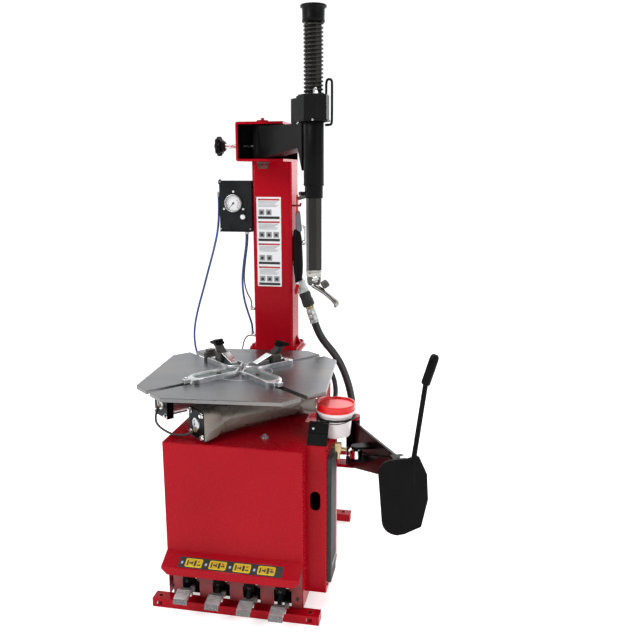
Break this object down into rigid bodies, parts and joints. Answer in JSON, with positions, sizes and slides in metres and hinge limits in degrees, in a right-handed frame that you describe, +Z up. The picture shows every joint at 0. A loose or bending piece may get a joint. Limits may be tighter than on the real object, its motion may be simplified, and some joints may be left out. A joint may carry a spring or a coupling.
{
  "type": "tire changer",
  "caption": "Swing-arm tire changer: clamping turntable on a pedal cabinet, spring-lifted mounting shaft, side bead breaker, air gauge and inflating gun.",
  "frame": {"origin": "centre of the four anchor-bolt holes, on the floor plane", "axes": "+Z up, +X to the operator's right (bead breaker side), -Y towards the operator"},
  "size_m": [0.9157, 0.836, 1.738],
  "materials": {
    "red_paint": "gloss",
    "black_paint": "gloss",
    "satin_black": "satin",
    "table_steel": "brushed",
    "zinc_steel": "satin",
    "dark_steel": "satin",
    "bright_steel": "polished",
    "alloy": "satin",
    "cylinder_alloy": "satin",
    "motor_paint": "satin",
    "gear_iron": "matte",
    "brass": "satin",
    "rubber": "matte",
    "hose_black": "satin",
    "hose_blue": "satin",
    "black_plastic": "satin",
    "white_plastic": "satin",
    "red_plastic": "gloss",
    "gauge_metal": "satin",
    "needle_metal": "satin"
  },
  "bodies": {
    "frame": {"base_bars": "red_paint", "front_panel": "red_paint", "left_panel": "red_paint", "right_panel": "red_paint", "rear_panel": "red_paint", "top_plate": "red_paint", "side_cover": "red_paint", "sloped_guard": "black_plastic", "rubber_pad": "rubber", "gearbox": "gear_iron", "drive_motor": "motor_paint", "pedal_shaft": "zinc_steel", "column": "red_paint", "column_head": "red_paint", "gauge_box": "black_paint", "gauge_body": "gauge_metal", "air_gun": "satin_black", "bucket_bracket": "black_paint", "bucket": "white_plastic", "bucket_lid": "red_plastic", "air_fitting": "brass", "breaker_brackets": "red_paint", "blast_hose": "hose_black", "return_hose": "hose_blue", "left_air_line": "hose_blue", "right_air_line": "hose_blue", "vent_lines": "hose_blue", "hose_fittings": "zinc_steel"},
    "turntable_body": {"turntable": "table_steel", "spindle": "dark_steel", "clamp_cylinders": "cylinder_alloy", "clamp_air_line": "hose_black"},
    "clamp_rear_right_body": {"clamp_rear_right": "zinc_steel"},
    "clamp_rear_left_body": {"clamp_rear_left": "zinc_steel"},
    "clamp_front_left_body": {"clamp_front_left": "zinc_steel"},
    "clamp_front_right_body": {"clamp_front_right": "zinc_steel"},
    "clamp_rods_body": {"clamp_rods": "bright_steel"},
    "gearbox_pulley_body": {"gearbox_pulley": "alloy"},
    "motor_pulley_body": {"motor_pulley": "alloy"},
    "swing_body": {"swing_arm": "satin_black", "guide_sleeve": "satin_black", "lock_cover": "black_plastic", "return_spring": "dark_steel"},
    "lock_lever_body": {"lock_lever": "dark_steel"},
    "shaft_body": {"tool_shaft": "dark_steel", "shaft_cap": "black_plastic", "mount_head": "bright_steel"},
    "stop_screw_body": {"stop_screw": "black_plastic"},
    "needle_body": {"gauge_needle": "needle_metal"},
    "button_body": {"gauge_button": "white_plastic"},
    "trigger_body": {"gun_trigger": "zinc_steel"},
    "valve_body": {"valve_lever": "brass"},
    "pedal_1_body": {"pedal_1": "alloy"},
    "pedal_2_body": {"pedal_2": "alloy"},
    "pedal_3_body": {"pedal_3": "alloy"},
    "pedal_4_body": {"pedal_4": "alloy"},
    "breaker_arm_body": {"breaker_arm": "black_paint"},
    "breaker_blade_body": {"breaker_blade": "black_paint"},
    "breaker_cylinder_body": {"breaker_cylinder": "cylinder_alloy"},
    "breaker_rod_body": {"breaker_rod": "bright_steel"}
  },
  "joints": [
    {"name": "turntable_spin", "type": "hinge", "parent": "frame", "child": "turntable_body", "pos_m": [-0.0455, -0.026, 0.65], "axis": [0, 0, 1], "continuous": true},
    {"name": "clamp_slide_rear_right", "type": "slide", "parent": "turntable_body", "child": "clamp_rear_right_body", "axis": [0.6508, 0.7593, 0], "range_m": [0, 0.11]},
    {"name": "clamp_slide_rear_left", "type": "slide", "parent": "turntable_body", "child": "clamp_rear_left_body", "axis": [-0.7593, 0.6508, 0], "range_m": [0, 0.11]},
    {"name": "clamp_slide_front_left", "type": "slide", "parent": "turntable_body", "child": "clamp_front_left_body", "axis": [-0.6508, -0.7593, 0], "range_m": [0, 0.11]},
    {"name": "clamp_slide_front_right", "type": "slide", "parent": "turntable_body", "child": "clamp_front_right_body", "axis": [0.7593, -0.6508, 0], "range_m": [0, 0.11]},
    {"name": "clamp_rod_slide", "type": "slide", "parent": "turntable_body", "child": "clamp_rods_body", "axis": [0.6508, 0.7593, 0], "range_m": [0, 0.04]},
    {"name": "gearbox_pulley_spin", "type": "hinge", "parent": "frame", "child": "gearbox_pulley_body", "pos_m": [0.0165, 0.12, 0.215], "axis": [0, 1, 0], "continuous": true},
    {"name": "motor_pulley_spin", "type": "hinge", "parent": "frame", "child": "motor_pulley_body", "pos_m": [0.0965, 0.12, 0.108], "axis": [0, 1, 0], "continuous": true},
    {"name": "arm_swing", "type": "hinge", "parent": "frame", "child": "swing_body", "pos_m": [-0.044, 0.258, 1.37], "axis": [0, 0, 1], "range_deg": [-35, 70]},
    {"name": "lock_lever_turn", "type": "hinge", "parent": "swing_body", "child": "lock_lever_body", "pos_m": [0.181, -0.002, 1.47], "axis": [0, 0, 1], "range_deg": [-25, 25]},
    {"name": "shaft_slide", "type": "slide", "parent": "swing_body", "child": "shaft_body", "axis": [0, 0, -1], "range_m": [0, 0.09], "stiffness_N_per_m": 1200, "springref_m": -0.12, "deforming": ["return_spring"]},
    {"name": "stop_screw_turn", "type": "hinge", "parent": "frame", "child": "stop_screw_body", "pos_m": [-0.15, 0.278, 1.361], "axis": [1, 0, 0], "range_deg": [-360, 360]},
    {"name": "needle_sweep", "type": "hinge", "parent": "frame", "child": "needle_body", "pos_m": [-0.169, 0.308, 1.168], "axis": [0, 1, 0], "range_deg": [0, 270], "stiffness_Nm_per_rad": 0.003},
    {"name": "button_press", "type": "slide", "parent": "frame", "child": "button_body", "axis": [0, 1, 0], "range_m": [0, 0.003], "stiffness_N_per_m": 600},
    {"name": "trigger_squeeze", "type": "hinge", "parent": "frame", "child": "trigger_body", "pos_m": [0.076, 0.338, 1.092], "axis": [0, 1, 0], "range_deg": [0, 4.5], "stiffness_Nm_per_rad": 2},
    {"name": "valve_turn", "type": "hinge", "parent": "frame", "child": "valve_body", "pos_m": [0.318, -0.195, 0.492], "axis": [1, 0, 0], "range_deg": [0, 90]},
    {"name": "pedal_1_press", "type": "hinge", "parent": "frame", "child": "pedal_1_body", "pos_m": [-0.137, -0.24, 0.096], "axis": [1, 0, 0], "range_deg": [0, 7], "stiffness_Nm_per_rad": 20, "springref_deg": -8.59},
    {"name": "pedal_2_press", "type": "hinge", "parent": "frame", "child": "pedal_2_body", "pos_m": [-0.043, -0.24, 0.096], "axis": [1, 0, 0], "range_deg": [0, 7], "stiffness_Nm_per_rad": 20, "springref_deg": -8.59},
    {"name": "pedal_3_press", "type": "hinge", "parent": "frame", "child": "pedal_3_body", "pos_m": [0.051, -0.24, 0.096], "axis": [1, 0, 0], "range_deg": [0, 7], "stiffness_Nm_per_rad": 20, "springref_deg": -8.59},
    {"name": "pedal_4_press", "type": "hinge", "parent": "frame", "child": "pedal_4_body", "pos_m": [0.145, -0.24, 0.096], "axis": [1, 0, 0], "range_deg": [0, 7], "stiffness_Nm_per_rad": 20, "springref_deg": -8.59},
    {"name": "breaker_arm_swing", "type": "hinge", "parent": "frame", "child": "breaker_arm_body", "pos_m": [0.265, 0.298, 0.32], "axis": [0, 0, 1], "range_deg": [-12, 20]},
    {"name": "breaker_blade_turn", "type": "hinge", "parent": "breaker_arm_body", "child": "breaker_blade_body", "pos_m": [0.48, -0.252, 0.47], "axis": [0, 0, 1], "range_deg": [-15, 15]},
    {"name": "breaker_cylinder_turn", "type": "hinge", "parent": "frame", "child": "breaker_cylinder_body", "pos_m": [-0.174, 0.047, 0.379], "axis": [0, 0, 1], "range_deg": [-2, 3]},
    {"name": "breaker_rod_slide", "type": "slide", "parent": "breaker_cylinder_body", "child": "breaker_rod_body", "axis": [1, 0, 0], "range_m": [-0.055, 0.09]}
  ],
  "couplings": [
    {"joint": "clamp_slide_rear_left", "follows": "clamp_slide_rear_right", "ratio": 1},
    {"joint": "clamp_slide_front_left", "follows": "clamp_slide_rear_right", "ratio": 1},
    {"joint": "clamp_slide_front_right", "follows": "clamp_slide_rear_right", "ratio": 1},
    {"joint": "clamp_rod_slide", "follows": "clamp_slide_rear_right", "ratio": 0.3636},
    {"joint": "gearbox_pulley_spin", "follows": "turntable_spin", "ratio": 30},
    {"joint": "motor_pulley_spin", "follows": "turntable_spin", "ratio": 57},
    {"joint": "breaker_cylinder_turn", "follows": "breaker_arm_swing", "ratio": 0.12},
    {"joint": "breaker_rod_slide", "follows": "breaker_arm_swing", "m_per_rad": 0.245}
  ]
}
